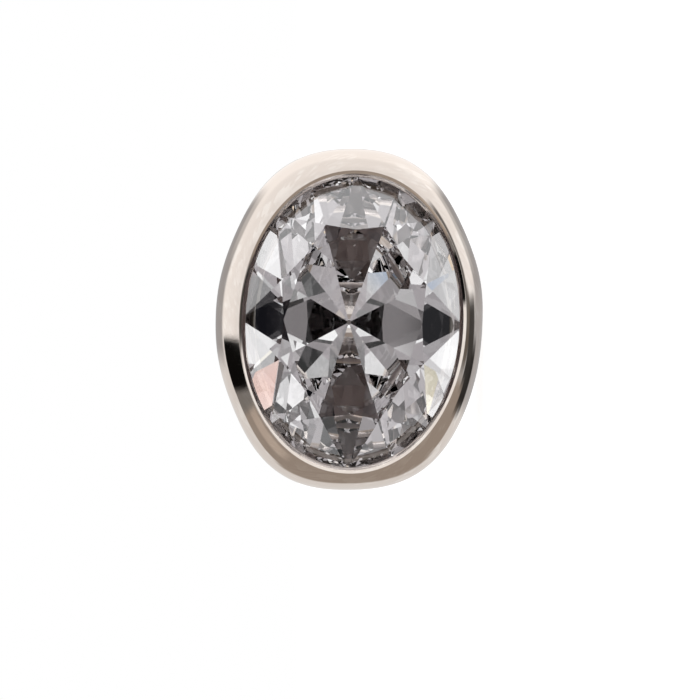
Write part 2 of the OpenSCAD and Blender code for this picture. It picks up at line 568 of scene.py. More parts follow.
class SurfaceEffects:
    """Node groups for effects that more than one finish uses."""

    LINE_RANGE = (0.35, 0.65)
    HAZE_RANGE = (0.35, 0.7)
    FLAT_POINTINESS = 0.5
    BREAK_RANGE = (0.3, 0.6)
    PATCH_RANGE = (0.5, 0.6)
    PATCH_DENSITY = 0.7

    def __init__(self) -> None:
        """Builds each group once."""
        self.polishing = self.polishing_lines()
        self.wear = self.edge_wear()
        self.dust = self.dust_specks()

    @classmethod
    def polishing_lines(cls) -> bpy.types.NodeTree:
        """Builds fine lines of a wheel or tool, broken up by a soft haze.

        Returns:
            The group, with outputs Lines and Haze.
        """
        numbers = {"Density": 30.0, "Haze size": 2.0}
        bench, entry, result = new_group("polishing_lines", numbers, ("Lines", "Haze"))
        lines = bench.noise(entry.outputs["Vector"], entry.outputs["Density"], 3.0, 0.6)
        haze = bench.noise(entry.outputs["Vector"], entry.outputs["Haze size"], 2.0)
        bench.feed(result.inputs["Lines"], bench.span(lines, *cls.LINE_RANGE))
        bench.feed(result.inputs["Haze"], bench.span(haze, *cls.HAZE_RANGE))
        return bench.tree

    @classmethod
    def edge_wear(cls) -> bpy.types.NodeTree:
        """Builds a mask for edges that handling has rubbed.

        Returns:
            The group, with output Mask.
        """
        numbers = {"Sharpness": 0.06, "Breaks": 4.0}
        bench, entry, result = new_group("edge_wear", numbers, ("Mask",))
        edge = bench.add("NewGeometry").outputs["Pointiness"]
        above = bench.maths("SUBTRACT", edge, cls.FLAT_POINTINESS)
        mask = bench.span(above, 0.0, entry.outputs["Sharpness"])
        breaks = bench.noise(entry.outputs["Vector"], entry.outputs["Breaks"], 3.0)
        broken = bench.span(breaks, *cls.BREAK_RANGE)
        bench.feed(result.inputs["Mask"], bench.maths("MULTIPLY", mask, broken))
        return bench.tree

    @classmethod
    def dust_specks(cls) -> bpy.types.NodeTree:
        """Builds a mask of small separate specks of dust.

        Returns:
            The group, with output Mask.
        """
        numbers = {"Density": 3.0, "Size": 0.05}
        bench, entry, result = new_group("dust_specks", numbers, ("Mask",))
        cells = bench.add("TexVoronoi")
        bench.feed(cells.inputs["Vector"], entry.outputs["Vector"])
        bench.feed(cells.inputs["Scale"], entry.outputs["Density"])
        size = bench.maths("MULTIPLY", entry.outputs["Size"], 0.5)
        speck = bench.span(cells.outputs["Distance"], entry.outputs["Size"], size)
        patches = bench.noise(entry.outputs["Vector"], cls.PATCH_DENSITY, 1.0)
        dusty = bench.span(patches, *cls.PATCH_RANGE)
        bench.feed(result.inputs["Mask"], bench.maths("MULTIPLY", speck, dusty))
        return bench.tree


# Finishes


@dataclass(frozen=True)
class PolishedTitanium:
    """High polish on warm titanium, with fine wheel lines and a little dust.

    Attributes:
        colour: Colour of the clean metal.
        worn: Colour of rubbed edges.
        roughness: Roughness of the cleanest polish.
        haze: Roughness that the haze adds at most.
        line_depth: Depth of the wheel lines in millimetres.
        line_stretch: Factor that draws the wheel lines out along the wall.
        dust_colour: Colour of the dust.
        dust_roughness: Roughness that the dust adds.
        wear_start: Heights above the underside between which the rubbed edges set in, so that
            the flat underside stays clean, in millimetres.
        hollow_colour: Colour of the unpolished hollow under the stone.
        hollow_roughness: Roughness of the hollow.
        hollow_reach: Half width, half length, and lowest and highest place of the hollow above
            the underside, all in millimetres.
        hollow_edge: Half width of the hollow's soft border in millimetres.
    """

    colour: Colour = (0.82, 0.745, 0.69)
    worn: Colour = (0.9, 0.84, 0.79)
    roughness: float = 0.035
    haze: float = 0.02
    line_depth: float = 0.00003
    line_stretch: float = 0.08
    dust_colour: Colour = (0.55, 0.52, 0.5)
    dust_roughness: float = 0.3
    wear_start: tuple[float, float] = (0.004, 0.012)
    hollow_colour: Colour = (0.92, 0.84, 0.81)
    hollow_roughness: float = 0.5
    hollow_reach: tuple[float, float, float, float] = (1.62, 2.13, 0.6, 2.38)
    hollow_edge: float = 0.02

    def hollow(self, bench: NodeBench) -> Socket:
        """Works out where the unpolished hollow under the stone is.

        Args:
            bench: Bench for the material's nodes.

        Returns:
            1 in the hollow and 0 outside it.
        """
        across, along, bottom, top = self.hollow_reach
        edge = self.hollow_edge
        low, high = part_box("bezel_cup")
        foot = Vector(((low.x + high.x) / 2, high.y, (low.z + high.z) / 2))
        parts = bench.add("SeparateXYZ")
        bench.feed(parts.inputs[0], bench.millimetres(foot, (1 / along, 1.0, 1 / across)))
        x, y, z = parts.outputs
        inside = bench.span(bench.squares(x, z), 1 + edge, 1 - edge)
        above = bench.span(y, -bottom + edge, -bottom - edge)
        below = bench.span(y, -top - edge, -top + edge)
        return bench.maths("MULTIPLY", inside, bench.maths("MULTIPLY", above, below))

    def material(self, effects: SurfaceEffects) -> bpy.types.Material:
        """Builds the material.

        Args:
            effects: Groups that the finish uses.

        Returns:
            The material.
        """
        material, bench = new_material("polished_titanium")
        low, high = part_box("bezel_cup")
        centre = (low + high) / 2
        place = bench.millimetres(centre)
        drawn = bench.millimetres(centre, (1.0, self.line_stretch, 1.0))
        lines = bench.group(effects.polishing, vector=drawn, density=26.0, haze_size=1.4)
        wear = bench.group(effects.wear, vector=place)
        dust = bench.group(effects.dust, vector=place, density=2.2, size=0.035)
        parts = bench.add("SeparateXYZ")
        bench.feed(parts.inputs[0], place)
        underside = (high.y - low.y) / (2 * MM)
        raised = bench.span(parts.outputs["Y"], *(underside - height for height in self.wear_start))
        edges = bench.maths("MULTIPLY", wear.outputs["Mask"], raised)
        rubbed = bench.mix(edges, self.colour, self.worn)
        dusty = bench.mix(dust.outputs["Mask"], rubbed, self.dust_colour)
        hollow = self.hollow(bench)
        colour = bench.mix(hollow, dusty, self.hollow_colour)
        rough = bench.maths("MULTIPLY_ADD", lines.outputs["Haze"], self.haze, self.roughness)
        rough = bench.maths("MULTIPLY_ADD", dust.outputs["Mask"], self.dust_roughness, rough)
        rough = bench.maths("MULTIPLY_ADD", hollow, self.hollow_roughness, rough)
        bench.metal(colour, rough, lines.outputs["Lines"], self.line_depth)
        return material


@dataclass(frozen=True)
class MachinedTitanium:
    """Satin brown-grey titanium as it comes off the lathe, with painted shade in the thread's
    roots.

    Attributes:
        colour: Colour of the crests and plain surfaces.
        painted_root_shade: Dark colour at the thread's root, which is painted shade of the recess.
        tip_colour: Colour of the bright-turned cone.
        stain: Colour of the stains that cutting left.
        stain_share: Strength of the stains.
        worn: Colour of rubbed edges.
        dust_colour: Colour of the dust.
        cone_blend: Where the colour changes to the cone's, from the cone's own start in
            millimetres.
        roughness: Roughness of the smoothest places.
        haze: Roughness that the haze adds at most.
        line_depth: Depth of the tool's lines in millimetres.
        line_stretch: Factor that draws the tool's lines out round the post.
    """

    colour: Colour = (0.33, 0.28, 0.25)
    # Painted shade: the dark colour of the thread's roots.
    painted_root_shade: Colour = (0.05, 0.041, 0.037)
    tip_colour: Colour = (0.46, 0.41, 0.385)
    stain: Colour = (0.24, 0.195, 0.165)
    stain_share: float = 0.2
    worn: Colour = (0.52, 0.46, 0.41)
    dust_colour: Colour = (0.4, 0.38, 0.36)
    cone_blend: tuple[float, float] = (-0.02, 0.01)
    roughness: float = 0.26
    haze: float = 0.07
    line_depth: float = 0.0012
    line_stretch: float = 0.35

    def material(
        self, effects: SurfaceEffects, root: float, crest: float, cone: float
    ) -> bpy.types.Material:
        """Builds the material.

        Args:
            effects: Groups that the finish uses.
            root: Radius of the thread's root in millimetres.
            crest: Radius of the thread's crest in millimetres.
            cone: Length of the cone in millimetres.

        Returns:
            The material.
        """
        material, bench = new_material("machined_titanium")
        low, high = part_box("threaded_post")
        centre = (low + high) / 2
        place = bench.millimetres(centre)
        drawn = bench.millimetres(centre, (self.line_stretch, 1.0, self.line_stretch))
        lines = bench.group(effects.polishing, vector=drawn, density=42.0, haze_size=3.0)
        wear = bench.group(effects.wear, vector=place, sharpness=0.08, breaks=7.0)
        dust = bench.group(effects.dust, vector=place, density=4.0, size=0.04)
        parts = bench.add("SeparateXYZ")
        bench.feed(parts.inputs[0], place)
        x, along, z = parts.outputs
        # Painted shade: by its radius, the surface darkens from the thread's crests into its roots.
        depth = bench.span(bench.maths("SQRT", bench.squares(x, z)), root, crest)
        start = (high.y - low.y) / (2 * MM) - cone
        tip = bench.span(along, *(start + shift for shift in self.cone_blend))
        base = bench.mix(depth, self.painted_root_shade, self.colour)
        base = bench.mix(tip, base, self.tip_colour)
        stains = bench.maths("MULTIPLY", lines.outputs["Haze"], self.stain_share)
        stained = bench.mix(stains, base, self.stain)
        rubbed = bench.mix(wear.outputs["Mask"], stained, self.worn)
        dusty = bench.mix(dust.outputs["Mask"], rubbed, self.dust_colour)
        rough = bench.maths("MULTIPLY_ADD", lines.outputs["Haze"], self.haze, self.roughness)
        bench.metal(dusty, rough, lines.outputs["Lines"], self.line_depth)
        return material


@dataclass(frozen=True)
class CutZirconia:
    """Clear, colourless cut stone with a faint film of handling and a few specks of dust.

    Attributes:
        colour: Colour that the clean stone lets through.
        film: Colour where the film lies.
        film_share: Strength of the film.
        dust_colour: Colour of the dust.
        index: Index of refraction.
        smear: Roughness of the dust.
    """

    colour: Colour = (0.985, 0.99, 1.0)
    film: Colour = (0.93, 0.94, 0.96)
    film_share: float = 0.5
    dust_colour: Colour = (0.8, 0.8, 0.8)
    index: float = 2.16
    smear: float = 0.4

    def material(self, effects: SurfaceEffects) -> bpy.types.Material:
        """Builds the material.

        Args:
            effects: Groups that the finish uses.

        Returns:
            The material.
        """
        material, bench = new_material("cut_zirconia")
        low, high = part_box("oval_stone")
        place = bench.millimetres((low + high) / 2)
        lines = bench.group(effects.polishing, vector=place, density=14.0, haze_size=1.1)
        dust = bench.group(effects.dust, vector=place, density=3.0, size=0.04)
        shader = bench.add("BsdfPrincipled")
        shader.inputs["Transmission Weight"].default_value = 1.0
        shader.inputs["IOR"].default_value = self.index
        marks = bench.maths("MULTIPLY", lines.outputs["Haze"], lines.outputs["Lines"])
        filmed = bench.mix(bench.maths("MULTIPLY", marks, self.film_share), self.colour, self.film)
        dusty = bench.mix(dust.outputs["Mask"], filmed, self.dust_colour)
        bench.feed(shader.inputs["Base Color"], dusty)
        rough = bench.maths("MULTIPLY", dust.outputs["Mask"], self.smear)
        bench.feed(shader.inputs["Roughness"], rough)
        bench.surface(shader)
        return material


@dataclass(frozen=True)
class PaleFloor:
    """Plain, pale light table with a faint grain.

    Attributes:
        dark: Colour of the grain's darker places.
        light: Colour of the grain's lighter places.
        grain: Number of the grain's features in a millimetre.
        glow: Strength of the table's own light.
        roughness: Roughness of the surface.
        sheen: Strength of the surface's reflection.
    """

    dark: Colour = (0.38, 0.38, 0.38)
    light: Colour = (0.42, 0.42, 0.42)
    grain: float = 0.8
    glow: float = 0.87
    roughness: float = 0.9
    sheen: float = 0.1

    def material(self) -> bpy.types.Material:
        """Builds the material.

        Returns:
            The material.
        """
        material, bench = new_material("pale_floor")
        shader = bench.add("BsdfPrincipled")
        grain = bench.noise(bench.millimetres(Vector()), self.grain, 2.0)
        bench.feed(shader.inputs["Base Color"], bench.mix(grain, self.dark, self.light))
        shader.inputs["Roughness"].default_value = self.roughness
        shader.inputs["Specular IOR Level"].default_value = self.sheen
        shader.inputs["Emission Color"].default_value = (1, 1, 1, 1)
        shader.inputs["Emission Strength"].default_value = self.glow
        bench.surface(shader)
        return material


# Pieces


@dataclass
class BezelCup:
    """Polished oval cup whose lip is rubbed over the stone, with a blind hole for the post.

    Its lengths are in millimetres, and so are the other pieces'.

    Attributes:
        wall: Outline of the side wall.
        opening: Outline of the lip's edge over the stone.
        seat: Outline of the stone's girdle, which the seat clears.
        height: Height from the underside to the crest of the rim.
        foot_round: Radius of the worn edge round the underside.
        flat_edge: Width of each of the strips that keep the underside's shading flat.
        shoulder: Height of the rounded shoulder between the wall and the crease.
        crown_end: Angle on the shoulder's arc at which the crease cuts it, in degrees.
        lip_width: Width of the bright-cut lip between the crease and its edge.
        lip_drop: Drop of the lip from the crease to its edge.
        lip_edge: Thickness of the lip's edge over the stone.
        girdle: Height of the stone's girdle plane.
        girdle_height: Height of the stone's girdle.
        ledge: Width of the ledge under the girdle.
        ledge_drop: Drop of the ledge from the girdle to its inner edge.
        hollow_inset: Distance of the hollow's floor inside the girdle.
        hollow_depth: Depth of the hollow below the girdle.
        fit_gap: Gap between neighbouring pieces.
        bore: Radius of the blind hole.
        bore_depth: Depth of the blind hole.
        edge_round: Width of the soft bevel on every sharp edge.
        edge_angle: Flattest edge in degrees that gets a bevel.
        columns: Number of points round every ring.
        foot_steps: Number of rings round the underside's edge.
        shoulder_steps: Number of rings over the shoulder.
        lip_steps: Number of rings down the lip.
    """

    wall: Oval
    opening: Oval
    seat: Oval
    height: float = 2.55
    foot_round: float = 0.05
    flat_edge: float = 0.03
    shoulder: float = 0.44
    crown_end: float = 82.0
    lip_width: float = 0.085
    lip_drop: float = 0.08
    lip_edge: float = 0.062
    girdle: float = 2.313
    girdle_height: float = 0.1
    ledge: float = 0.21
    ledge_drop: float = 0.22
    hollow_inset: float = 0.42
    hollow_depth: float = 1.49
    fit_gap: float = 0.012
    bore: float = 0.362
    bore_depth: float = 0.452
    edge_round: float = 0.005
    edge_angle: float = 28.0
    columns: int = 192
    foot_steps: int = 5
    shoulder_steps: int = 22
    lip_steps: int = 8
    name: str = "bezel_cup_polished"
    object: bpy.types.Object | None = field(default=None, init=False)

    def crown_rings(self) -> list[list[Vector]]:
        """Places the rings of the rounded shoulder, from the wall to the crease.

        Returns:
            The rings.
        """
        end = math.radians(self.crown_end)
        outer = self.wall.ring(self.columns, 0, 0)
        inner = self.opening.ring(self.columns, self.lip_width, 0)
        rings = []
        for step in range(self.shoulder_steps + 1):
            angle = end * step / self.shoulder_steps
            share = (1 - math.cos(angle)) / (1 - math.cos(end))
            z = self.height - self.shoulder * (1 - math.sin(angle) / math.sin(end))
            rings.append(at_height(blend_rings(outer, inner, share), z))
        return rings

    def lip_rings(self) -> list[list[Vector]]:
        """Places the rings of the bright-cut lip, which gets steeper towards the stone.

        Returns:
            The rings.
        """
        rings = []
        for step in range(1, self.lip_steps + 1):
            share = step / self.lip_steps
            drop = self.lip_drop * (share + share * share) / 2
            grow = self.lip_width * (1 - share)
            rings.append(self.opening.ring(self.columns, grow, self.height - drop))
        return rings

    def rings(self) -> list[list[Vector]]:
        """Places all rings, from the bottom of the bore round the outside into the hollow.

        Returns:
            The rings.
        """
        count = self.columns
        foot = [math.radians(90 * step / self.foot_steps) for step in range(self.foot_steps + 1)]
        low_seat = self.girdle - self.girdle_height - self.fit_gap
        return [
            circle_ring(count, self.bore, self.bore_depth),
            circle_ring(count, self.bore, 0),
            circle_ring(count, self.bore + self.flat_edge, 0),
            circle_ring(count, self.bore + 2 * self.flat_edge, 0),
            self.wall.ring(count, -self.foot_round - 2 * self.flat_edge, 0),
            self.wall.ring(count, -self.foot_round - self.flat_edge, 0),
            *(
                self.wall.ring(
                    count, -self.foot_round * (1 - math.sin(a)), self.foot_round * (1 - math.cos(a))
                )
                for a in foot
            ),
            *self.crown_rings(),
            *self.lip_rings(),
            self.opening.ring(count, 0, self.height - self.lip_drop - self.lip_edge),
            self.seat.ring(count, self.fit_gap, self.girdle + self.fit_gap),
            self.seat.ring(count, self.fit_gap, low_seat),
            self.seat.ring(count, -self.ledge, low_seat - self.ledge_drop),
            self.seat.ring(count, -self.hollow_inset, low_seat + self.fit_gap - self.hollow_depth),
        ]

    def build(self) -> None:
        """Models the cup from ring to ring and softens its sharp edges."""
        self.object = Workbench.loft(self.name, self.rings())
        Workbench.modify(
            self.object,
            "BEVEL",
            width=self.edge_round,
            segments=3,
            limit_method="ANGLE",
            angle_limit=math.radians(self.edge_angle),
            use_clamp_overlap=True,
        )
        Workbench.finish(self.object, Shading.ROUNDED, 40.0)

    def dress(self, finish: PolishedTitanium, effects: SurfaceEffects) -> None:
        """Gives the cup its finish and its place in the model.

        Args:
            finish: Finish of the metal.
            effects: Groups that the finish uses.
        """
        self.object.data.materials.append(finish.material(effects))
        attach(self.object, BODY)
        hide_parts("bezel_cup")


@dataclass
class OvalStone:
    """Oval brilliant that is cut facet by facet as a round one and then drawn out.

    Attributes:
        outline: Outline of the girdle.
        girdle: Height of the girdle plane on the jewel.
        table: Reach of the table's corners as a share of the girdle's.
        star: Reach of the star facets' outer corners as a share of the girdle's.
        crown: Height of the crown.
        girdle_height: Height of the girdle where it is thickest.
        pavilion: Depth of the pavilion below the girdle.
        lower: Reach of the lower girdle facets' inner corners as a share of the girdle's.
        tip_shift: Shift of the pavilion's tip across the stone, as hand cutting leaves it.
        culet: Width of the small flat at the tip.
        mains: Number of main facets on each side.
        blank_sides: Number of sides of the cylinder that the stone is cut from.
    """

    outline: Oval
    girdle: float = 2.313
    table: float = 0.62
    star: float = 0.7
    crown: float = 0.32
    girdle_height: float = 0.1
    pavilion: float = 1.34
    lower: float = 0.43
    tip_shift: float = -0.04
    culet: float = 0.05
    mains: int = 8
    blank_sides: int = 128
    name: str = "oval_stone_cut"
    object: bpy.types.Object | None = field(default=None, init=False)

    @staticmethod
    def corner(angle: float, reach: float, height: float) -> Vector:
        """Returns a facet corner of the round stone, at a reach and height."""
        return Vector((reach * math.cos(angle), reach * math.sin(angle), height))

    def grind(self, first: Vector, second: Vector, third: Vector) -> None:
        """Grinds the facet through three corners.

        Args:
            first: Corner of the facet.
            second: Corner of the facet.
            third: Corner of the facet.
        """
        normal = (second - first).cross(third - first).normalized()
        middle = Vector((0, 0, -self.girdle_height / 2))
        if normal.dot(first - middle) < 0:
            normal = -normal
        Workbench.cut(first, normal)

    def grind_crown(self) -> None:
        """Grinds the table, the mains, the stars and the upper girdle facets."""
        step = FULL_TURN / self.mains
        half = step / 2
        drop = (1 - self.star * math.cos(half)) / (1 - self.table)
        for index in range(self.mains):
            main = index * step
            between = main + half
            table = self.corner(main, self.table, self.crown)
            next_table = self.corner(main + step, self.table, self.crown)
            star = self.corner(between, self.star, self.crown * drop)
            girdle = self.corner(main, 1, 0)
            across = Vector((-math.sin(main), math.cos(main), 0))
            self.grind(girdle, girdle + across, table)
            self.grind(table, next_table, star)
            self.grind(star, girdle, self.corner(between, 1, 0))
            self.grind(star, self.corner(between, 1, 0), self.corner(main + step, 1, 0))

    def grind_pavilion(self) -> None:
        """Grinds the mains and the lower girdle facets below the girdle."""
        step = FULL_TURN / self.mains
        half = step / 2
        low = -self.girdle_height
        tip = Vector((2 * self.tip_shift / self.outline.width, 0, low - self.pavilion))
        for index in range(self.mains):
            main = index * step
            between = main + half
            girdle = self.corner(main, 1, low)
            meeting = self.corner(between, 1 / math.cos(half), low)
            lower = tip.lerp(meeting, self.lower * math.cos(half))
            across = Vector((-math.sin(main), math.cos(main), 0))
            self.grind(girdle, girdle + across, tip)
            self.grind(lower, girdle, self.corner(between, 1, low))
            self.grind(lower, self.corner(between, 1, low), self.corner(main + step, 1, low))

    def build(self) -> None:
        """Cuts a round brilliant out of a cylinder and draws it out to the oval."""
        Workbench.clear_selection()
        top, bottom = self.crown, -self.girdle_height - self.pavilion
        bpy.ops.mesh.primitive_cylinder_add(
            vertices=self.blank_sides,
            radius=1,
            depth=top - bottom,
            location=(0, 0, (top + bottom) / 2),
        )
        self.object = bpy.context.object
        self.object.name = self.object.data.name = self.name
        bpy.ops.object.transform_apply(location=True)
        bpy.ops.object.mode_set(mode="EDIT")
        self.grind_crown()
        self.grind_pavilion()
        tip = bottom + self.pavilion * self.culet / self.outline.width
        Workbench.cut(Vector((0, 0, tip)), Vector((0, 0, -1)))
        bpy.ops.mesh.select_all(action="SELECT")
        bpy.ops.transform.resize(value=(self.outline.width / 2, self.outline.length / 2, 1))
        bpy.ops.mesh.normals_make_consistent(inside=False)
        bpy.ops.object.mode_set(mode="OBJECT")
        self.object.location = (*self.outline.centre, self.girdle)
        self.object.rotation_euler.z = math.radians(self.outline.turn)
        bpy.ops.object.transform_apply(location=True, rotation=True, scale=True)
        Workbench.finish(self.object, Shading.FACETS)

    def dress(self, finish: CutZirconia, effects: SurfaceEffects) -> None:
        """Gives the stone its finish and its place in the model.

        Args:
            finish: Finish of the stone.
            effects: Groups that the finish uses.
        """
        self.object.data.materials.append(finish.material(effects))
        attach(self.object, BODY)
        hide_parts("oval_stone")


@dataclass
class ThreadedPost:
    """Post with a pressed shank, a plain neck, a right-hand thread and a blunt cone.

    Attributes:
        thread: Radius over the thread's crests.
        root: Radius at the thread's root.
        pitch: Distance between neighbouring crests.
        neck: Radius of the plain neck.
        neck_length: Length of the plain neck.
        length: Length from the underside to the tip.
        tip_angle: Half angle of the tip's cone in degrees.
        nub: Radius of the blunt nub at the tip.
        nub_end: Radius of the nub's flat end.
        nub_height: Height of the nub.
        shank: Radius of the shank in the head.
        shank_length: Depth of the shank in the head.
        taper: Growth of the root's radius towards the neck, and of the shank's towards its mouth.
        fit_gap: Gap between the neck and the head.
        soft: Width of the worn edges.
        flank: Angle of the thread's flanks in degrees.
        sink: Depth to which the thread's section reaches into the core.
        lead_in: Distance of the thread's start from the neck, as a share of the pitch.
        lead_out: Distance of the thread's end from the cone, as a share of the pitch.
        runout: Length of the run-out at both ends, as a share of a turn.
        crest_flat: Half width of the crest's flat, as a share of the pitch.
        crest_soft: Width of the crest's worn edges.
        columns: Number of points round every ring.
    """

    thread: float = 0.45
    root: float = 0.31
    pitch: float = 0.225
    neck: float = 0.39
    neck_length: float = 0.22
    length: float = 1.75
    tip_angle: float = 39.0
    nub: float = 0.1
    nub_end: float = 0.055
    nub_height: float = 0.035
    shank: float = 0.35
    shank_length: float = 0.44
    taper: float = 0.01
    fit_gap: float = 0.012
    soft: float = 0.008
    flank: float = 30.0
    sink: float = 0.02
    lead_in: float = 0.25
    lead_out: float = 0.4
    runout: float = 10 / 24
    crest_flat: float = 1 / 18
    crest_soft: float = 0.006
    columns: int = 48
    name: str = "threaded_post_machined"
    object: bpy.types.Object | None = field(default=None, init=False)

    @property
    def core_end(self) -> float:
        """Returns the distance from the underside to the end of the thread's root."""
        cone = (self.root - self.nub) / math.tan(math.radians(self.tip_angle))
        return self.length - self.nub_height - cone

    def core_rings(self) -> list[list[Vector]]:
        """Places the rings of the turned core, from the head to the tip.

        Returns:
            The rings.
        """
        soft = self.soft
        profile = [
            (self.shank - self.taper, self.shank_length),
            (self.shank, -self.fit_gap),
            (self.neck - soft, -self.fit_gap),
            (self.neck, -self.fit_gap - soft),
            (self.neck, -self.neck_length + soft),
            (self.neck - soft, -self.neck_length),
            (self.root + self.taper, -self.neck_length - soft),
            (self.root, -self.core_end),
            (self.nub, -self.length + self.nub_height),
            (self.nub_end + soft, -self.length + soft / 2),
            (self.nub_end, -self.length),
        ]
        return [circle_ring(self.columns, radius, height) for radius, height in profile]

    def thread_rings(self) -> list[list[Vector]]:
        """Places the thread's sections along its helix, run out into the core at both ends.

        Returns:
            The sections, each with a point for every corner.
        """
        slope = math.tan(math.radians(self.flank))
        sink = self.sink
        start = self.neck_length + self.lead_in * self.pitch
        end = self.core_end - self.lead_out * self.pitch
        sides = self.columns
        stations = round((end - start) / self.pitch * sides)
        runout = round(sides * self.runout)
        flat = self.pitch * self.crest_flat
        base = flat + (self.thread - self.root) * slope + sink * slope / 2
        rings = []
        for station in range(stations + 1):
            angle = station * FULL_TURN / sides
            z = -start - station * self.pitch / sides
            run = min(1, station / runout, (stations - station) / runout)
            inner = self.root - sink
            outer = inner + sink / 2 + (self.thread - inner - sink / 2) * run
            crest = base - sink / 4 + (flat - base + sink / 4) * run
            soft = min(self.crest_soft, (outer - inner) / 3)
            corners = (
                (inner, -base),
                (outer - soft, -crest - soft * slope),
                (outer, -crest + soft / 2),
                (outer, crest - soft / 2),
                (outer - soft, crest + soft * slope),
                (inner, base),
            )
            rings.append(
                [Vector((r * math.cos(angle), -r * math.sin(angle), z + dz)) for r, dz in corners]
            )
        return rings

    def build(self) -> None:
        """Models the core and the thread, and joins them into one solid."""
        self.object = Workbench.loft(self.name, self.core_rings())
        thread = Workbench.loft("thread", self.thread_rings())
        Workbench.modify(self.object, "BOOLEAN", object=thread, operation="UNION", solver="EXACT")
        bpy.data.objects.remove(thread)
        Workbench.finish(self.object, Shading.ROUNDED, 28.0)

    def dress(self, finish: MachinedTitanium, effects: SurfaceEffects) -> None:
        """Gives the post its finish and its place in the model.

        Args:
            finish: Finish of the metal.
            effects: Groups that the finish uses.
        """
        cone = self.length - self.core_end
        self.object.data.materials.append(finish.material(effects, self.root, self.thread, cone))
        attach(self.object, BODY)
        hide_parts("threaded_post")


# Studio


@dataclass(frozen=True)
class LightPanel:
    """Soft-edged panel of the light tent, placed in polar form round the camera's axis.

    Attributes:
        heading: Direction of its middle in degrees, clockwise on the picture from its right.
        half_width: Half of its width in degrees of heading.
        inner: Angle of its inner edge from the camera's axis in degrees.
        outer: Angle of its outer edge from the camera's axis in degrees.
        colour: Colour of its light.
        strength: Brightness, where 1 is the white of the floor.
        soft: Half width of its soft edges in degrees.
    """

    heading: float
    half_width: float
    inner: float
    outer: float
    colour: Colour
    strength: float
    soft: float


@dataclass(frozen=True)
class LightRig:
    """Set of light panels in front of a plain tent.

    Attributes:
        base: Colour of the tent where no panel lies.
        panels: Panels, each laid over the ones before it.
    """

    base: Colour
    panels: tuple[LightPanel, ...]


@dataclass
class LightTent:
    """Light tent round the jewel, which is the world's background.

    The metal mirrors one rig of panels. The light that comes through the stone is from a softer
    rig, and what the stone's clean facets mirror is from a third, simple one.

    Attributes:
        metal: Rig that the metal mirrors.
        stone: Rig that is seen through the stone.
        facets: Rig that the outer facets of the stone mirror.
    """

    metal: LightRig
    stone: LightRig
    facets: LightRig

    @staticmethod
    def cosines(angle: float, soft: float) -> tuple[float, float]:
        """Works out the cosines at both ends of a soft edge.

        Args:
            angle: Angle of the edge in degrees.
            soft: Half width of the edge in degrees.

        Returns:
            The cosines of its outer and its inner end.
        """
        wide = math.cos(math.radians(min(180.0, angle + soft)))
        narrow = math.cos(math.radians(max(0.0, angle - soft)))
        return wide, narrow

    def mask(self, bench: NodeBench, panel: LightPanel, parts: Sequence[Socket]) -> Socket:
        """Works out where a panel lies.

        Args:
            bench: Bench for the world's nodes.
            panel: Panel to place.
            parts: Share of the direction towards the camera, and the right and down parts of its
                heading.

        Returns:
            1 on the panel and 0 off it.
        """
        near, right, down = parts
        mask = bench.span(near, *self.cosines(panel.outer, panel.soft))
        if panel.inner > 0:
            hole = bench.span(near, *self.cosines(panel.inner, panel.soft))
            mask = bench.maths("MULTIPLY", mask, bench.maths("SUBTRACT", 1.0, hole))
        if panel.half_width < 180:
            heading = math.radians(panel.heading)
            across = bench.maths("MULTIPLY", down, math.sin(heading))
            along = bench.maths("MULTIPLY_ADD", right, math.cos(heading), across)
            side = bench.span(along, *self.cosines(panel.half_width, panel.soft))
            mask = bench.maths("MULTIPLY", mask, side)
        return mask

    def paint(self, bench: NodeBench, rig: LightRig, parts: Sequence[Socket]) -> Socket:
        """Lays the panels of a rig over its plain tent.

        Args:
            bench: Bench for the world's nodes.
            rig: Rig to lay out.
            parts: Parts of the direction that mask() takes.

        Returns:
            The colour of the light from that direction.
        """
        colour: object = rig.base
        for panel in rig.panels:
            lit = tuple(channel * panel.strength for channel in panel.colour)
            colour = bench.mix(self.mask(bench, panel, parts), colour, lit)
        return colour

    def build(self) -> None:
        """Makes the world, which the camera itself sees as plain white."""
        world = bpy.data.worlds.new("light_tent")
        bpy.context.scene.world = world
        world.use_nodes = True
        bench = NodeBench(world.node_tree)
        split = bench.add("SeparateXYZ")
        bench.feed(split.inputs[0], bench.add("TexCoord").outputs["Generated"])
        x, y, z = split.outputs
        reach = bench.maths("SQRT", bench.maths("MAXIMUM", bench.squares(x, z), 1e-6))
        near = bench.maths("MULTIPLY", y, -1.0)
        right = bench.maths("MULTIPLY", bench.maths("DIVIDE", z, reach), -1.0)
        down = bench.maths("MULTIPLY", bench.maths("DIVIDE", x, reach), -1.0)
        parts = (near, right, down)
        metal, stone, facets = (
            self.paint(bench, rig, parts) for rig in (self.metal, self.stone, self.facets)
        )
        path = bench.add("LightPath")
        mirrored = bench.mix(path.outputs["Is Singular Ray"], metal, facets)
        lit = bench.mix(path.outputs["Is Transmission Ray"], mirrored, stone)
        seen = bench.mix(path.outputs["Is Camera Ray"], lit, (1.0, 1.0, 1.0))
        light = bench.add("Background")
        bench.feed(light.inputs["Color"], seen)
        bench.feed(bench.add("OutputWorld").inputs["Surface"], light.outputs[0])


